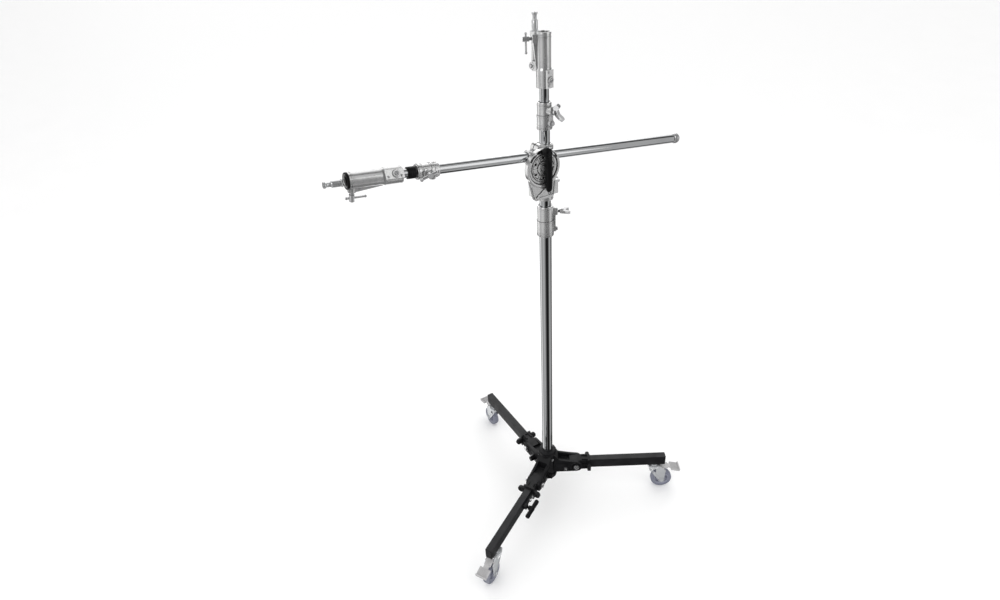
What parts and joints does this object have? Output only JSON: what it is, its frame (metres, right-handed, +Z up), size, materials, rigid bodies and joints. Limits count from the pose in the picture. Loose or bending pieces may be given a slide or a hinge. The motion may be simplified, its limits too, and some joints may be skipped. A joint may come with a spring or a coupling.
{
  "type": "combo boom stand",
  "caption": "Rolling combo boom stand with a folding black base, chrome telescoping column, swivel boom head, and junior sockets with flip-out baby pins on the column top and boom tip.",
  "frame": {"origin": "on the floor under the column axis", "axes": "+Z up the column, +X along the right leg, +Y to the rear"},
  "size_m": [1.0417, 0.9038, 1.733],
  "materials": {
    "black_cast": "satin black powder coat on cast alloy",
    "leg_paint": "satin dark grey paint",
    "chrome_tube": "polished chrome",
    "cast_alloy": "satin cast alloy",
    "bright_steel": "plated steel",
    "pin_steel": "plated steel",
    "zinc_steel": "zinc plate",
    "wheel_core": "moulded",
    "tyre": "grey rubber",
    "pedal": "moulded",
    "black_plastic": "moulded"
  },
  "bodies": {
    "base": {"base_hub": "black_cast", "arm_bolts": "bright_steel", "leg_pivot_bolts": "bright_steel", "main_tube": "chrome_tube", "main_collar": "cast_alloy", "main_collar_bolt": "bright_steel"},
    "main_collar_handle": {"main_collar_handle": "bright_steel"},
    "leg_right": {"leg_sleeve_right": "black_cast", "leg_tube_right": "leg_paint", "caster_mount_right": "zinc_steel"},
    "fold_knob_right": {"fold_knob_right": "black_plastic"},
    "caster_right": {"caster_fork_right": "zinc_steel", "caster_axle_right": "zinc_steel"},
    "wheel_right": {"wheel_core_right": "wheel_core", "tyre_right": "tyre"},
    "brake_pedal_right": {"brake_pedal_right": "pedal"},
    "leg_rear": {"leg_sleeve_rear": "black_cast", "leg_tube_rear": "leg_paint", "caster_mount_rear": "zinc_steel"},
    "fold_knob_rear": {"fold_knob_rear": "black_plastic"},
    "caster_rear": {"caster_fork_rear": "zinc_steel", "caster_axle_rear": "zinc_steel"},
    "wheel_rear": {"wheel_core_rear": "wheel_core", "tyre_rear": "tyre"},
    "brake_pedal_rear": {"brake_pedal_rear": "pedal"},
    "leg_front": {"leg_sleeve_front": "black_cast", "bracket_bolts": "bright_steel"},
    "leg_front_tube": {"leg_tube_front": "leg_paint", "caster_mount_front": "zinc_steel"},
    "fold_knob_front": {"fold_knob_front": "black_plastic"},
    "levelling_handle": {"levelling_handle": "black_plastic"},
    "caster_front": {"caster_fork_front": "zinc_steel", "caster_axle_front": "zinc_steel"},
    "wheel_front": {"wheel_core_front": "wheel_core", "tyre_front": "tyre"},
    "brake_pedal_front": {"brake_pedal_front": "pedal"},
    "riser_2": {"riser_2": "chrome_tube"},
    "head": {"head_body": "cast_alloy", "pivot_bolt": "bright_steel"},
    "riser_lock_handle": {"riser_lock_handle": "bright_steel"},
    "riser_3": {"riser_3": "chrome_tube", "upper_collar": "cast_alloy", "upper_collar_bolt": "bright_steel"},
    "upper_collar_handle": {"upper_collar_handle": "bright_steel"},
    "riser_4": {"riser_4": "chrome_tube", "top_receiver": "cast_alloy"},
    "top_flip_pin": {"top_flip_pin": "pin_steel"},
    "top_receiver_screw": {"top_receiver_screw": "bright_steel"},
    "boom_saddle": {"boom_saddle": "cast_alloy"},
    "clamp_lever": {"clamp_lever": "black_plastic"},
    "boom": {"boom_tube": "chrome_tube", "boom_end_cap": "bright_steel", "boom_collar": "cast_alloy"},
    "boom_collar_handle": {"boom_collar_handle": "bright_steel"},
    "extension": {"boom_extension": "chrome_tube", "extension_bush": "black_plastic", "boom_receiver": "cast_alloy"},
    "boom_flip_pin": {"boom_flip_pin": "pin_steel"},
    "boom_receiver_screw": {"boom_receiver_screw": "bright_steel"}
  },
  "joints": [
    {"name": "main_collar_handle_turn", "type": "hinge", "parent": "base", "child": "main_collar_handle", "pos_m": [0.04, 0, 1.199], "axis": [1, 0, 0], "range_deg": [-360, 360]},
    {"name": "leg_fold_right", "type": "hinge", "parent": "base", "child": "leg_right", "pos_m": [0.108, 0, 0.142], "axis": [0, -1, 0], "range_deg": [0, 90]},
    {"name": "fold_knob_turn_right", "type": "hinge", "parent": "base", "child": "fold_knob_right", "pos_m": [0.052, 0.03, 0.142], "axis": [0, 1, 0], "range_deg": [-360, 360]},
    {"name": "caster_swivel_right", "type": "hinge", "parent": "leg_right", "child": "caster_right", "pos_m": [0.41, 0, 0.112], "axis": [0, 0, 1], "continuous": true},
    {"name": "wheel_spin_right", "type": "hinge", "parent": "caster_right", "child": "wheel_right", "pos_m": [0.444, 0, 0.04], "axis": [0, 1, 0], "continuous": true},
    {"name": "brake_pedal_press_right", "type": "hinge", "parent": "caster_right", "child": "brake_pedal_right", "pos_m": [0.446, 0, 0.102], "axis": [0, 1, 0], "range_deg": [-12, 0]},
    {"name": "leg_fold_rear", "type": "hinge", "parent": "base", "child": "leg_rear", "pos_m": [-0.054, 0.09353, 0.142], "axis": [0.866, 0.5, 0], "range_deg": [0, 90]},
    {"name": "fold_knob_turn_rear", "type": "hinge", "parent": "base", "child": "fold_knob_rear", "pos_m": [-0.05198, 0.03003, 0.142], "axis": [-0.866, -0.5, 0], "range_deg": [-360, 360]},
    {"name": "caster_swivel_rear", "type": "hinge", "parent": "leg_rear", "child": "caster_rear", "pos_m": [-0.205, 0.35507, 0.112], "axis": [0, 0, 1], "continuous": true},
    {"name": "wheel_spin_rear", "type": "hinge", "parent": "caster_rear", "child": "wheel_rear", "pos_m": [-0.222, 0.38451, 0.04], "axis": [-0.866, -0.5, 0], "continuous": true},
    {"name": "brake_pedal_press_rear", "type": "hinge", "parent": "caster_rear", "child": "brake_pedal_rear", "pos_m": [-0.223, 0.38625, 0.102], "axis": [-0.866, -0.5, 0], "range_deg": [-12, 0]},
    {"name": "leg_fold_front", "type": "hinge", "parent": "base", "child": "leg_front", "pos_m": [-0.054, -0.09353, 0.142], "axis": [-0.866, 0.5, 0], "range_deg": [0, 90]},
    {"name": "fold_knob_turn_front", "type": "hinge", "parent": "base", "child": "fold_knob_front", "pos_m": [-0.00002, -0.06003, 0.142], "axis": [0.866, -0.5, 0], "range_deg": [-360, 360]},
    {"name": "levelling_leg_slide", "type": "slide", "parent": "leg_front", "child": "leg_front_tube", "axis": [-0.5, -0.866, 0], "range_m": [0, 0.045]},
    {"name": "levelling_handle_turn", "type": "hinge", "parent": "leg_front", "child": "levelling_handle", "pos_m": [-0.07536, -0.21053, 0.142], "axis": [0.866, -0.5, 0], "range_deg": [-360, 360]},
    {"name": "caster_swivel_front", "type": "hinge", "parent": "leg_front_tube", "child": "caster_front", "pos_m": [-0.205, -0.35507, 0.112], "axis": [0, 0, 1], "continuous": true},
    {"name": "wheel_spin_front", "type": "hinge", "parent": "caster_front", "child": "wheel_front", "pos_m": [-0.222, -0.38451, 0.04], "axis": [0.866, -0.5, 0], "continuous": true},
    {"name": "brake_pedal_press_front", "type": "hinge", "parent": "caster_front", "child": "brake_pedal_front", "pos_m": [-0.223, -0.38625, 0.102], "axis": [0.866, -0.5, 0], "range_deg": [-12, 0]},
    {"name": "riser_2_slide", "type": "slide", "parent": "base", "child": "riser_2", "axis": [0, 0, 1], "range_m": [-0.015, 0.8]},
    {"name": "head_pan", "type": "hinge", "parent": "riser_2", "child": "head", "pos_m": [0, 0, 1.25], "axis": [0, 0, 1], "range_deg": [-180, 180]},
    {"name": "riser_lock_handle_turn", "type": "hinge", "parent": "head", "child": "riser_lock_handle", "pos_m": [0.03429, 0.0206, 1.291], "axis": [0.8572, 0.515, 0], "range_deg": [-360, 360]},
    {"name": "riser_3_slide", "type": "slide", "parent": "riser_2", "child": "riser_3", "axis": [0, 0, 1], "range_m": [-0.035, 0.8]},
    {"name": "upper_collar_handle_turn", "type": "hinge", "parent": "riser_3", "child": "upper_collar_handle", "pos_m": [0.02828, -0.02828, 1.496], "axis": [0.7071, -0.7071, 0], "range_deg": [-360, 360]},
    {"name": "riser_4_slide", "type": "slide", "parent": "riser_3", "child": "riser_4", "axis": [0, 0, 1], "range_m": [-0.03, 0.8]},
    {"name": "top_flip_pin_swing", "type": "hinge", "parent": "riser_4", "child": "top_flip_pin", "pos_m": [-0.02443, 0.02911, 1.604], "axis": [-0.766, -0.6428, 0], "range_deg": [0, 120]},
    {"name": "top_receiver_screw_turn", "type": "hinge", "parent": "riser_4", "child": "top_receiver_screw", "pos_m": [-0.03985, -0.00349, 1.675], "axis": [-0.9962, -0.0872, 0], "range_deg": [-360, 360]},
    {"name": "boom_tilt", "type": "hinge", "parent": "head", "child": "boom_saddle", "pos_m": [-0.0171, -0.08027, 1.368], "axis": [-0.515, 0.8572, 0], "range_deg": [-40, 35]},
    {"name": "clamp_lever_turn", "type": "hinge", "parent": "boom_saddle", "child": "clamp_lever", "pos_m": [-0.00409, -0.09579, 1.41343], "axis": [-0.515, 0.8572, 0], "range_deg": [-90, 80]},
    {"name": "boom_slide", "type": "slide", "parent": "boom_saddle", "child": "boom", "axis": [0.8517, 0.5117, -0.1132], "range_m": [-0.3, 0.16]},
    {"name": "boom_collar_handle_turn", "type": "hinge", "parent": "boom", "child": "boom_collar_handle", "pos_m": [-0.29372, -0.26281, 1.42988], "axis": [0.515, -0.8572, 0], "range_deg": [-360, 360]},
    {"name": "extension_slide", "type": "slide", "parent": "boom", "child": "extension", "axis": [-0.8517, -0.5117, 0.1132], "range_m": [-0.002, 0.16]},
    {"name": "boom_flip_pin_swing", "type": "hinge", "parent": "extension", "child": "boom_flip_pin", "pos_m": [-0.42044, -0.26378, 1.42615], "axis": [0.1297, -0.4151, -0.9005], "range_deg": [0, 120]},
    {"name": "boom_receiver_screw_turn", "type": "hinge", "parent": "extension", "child": "boom_receiver_screw", "pos_m": [-0.46901, -0.32504, 1.41101], "axis": [-0.185, 0.0914, -0.9785], "range_deg": [-360, 360]}
  ]
}
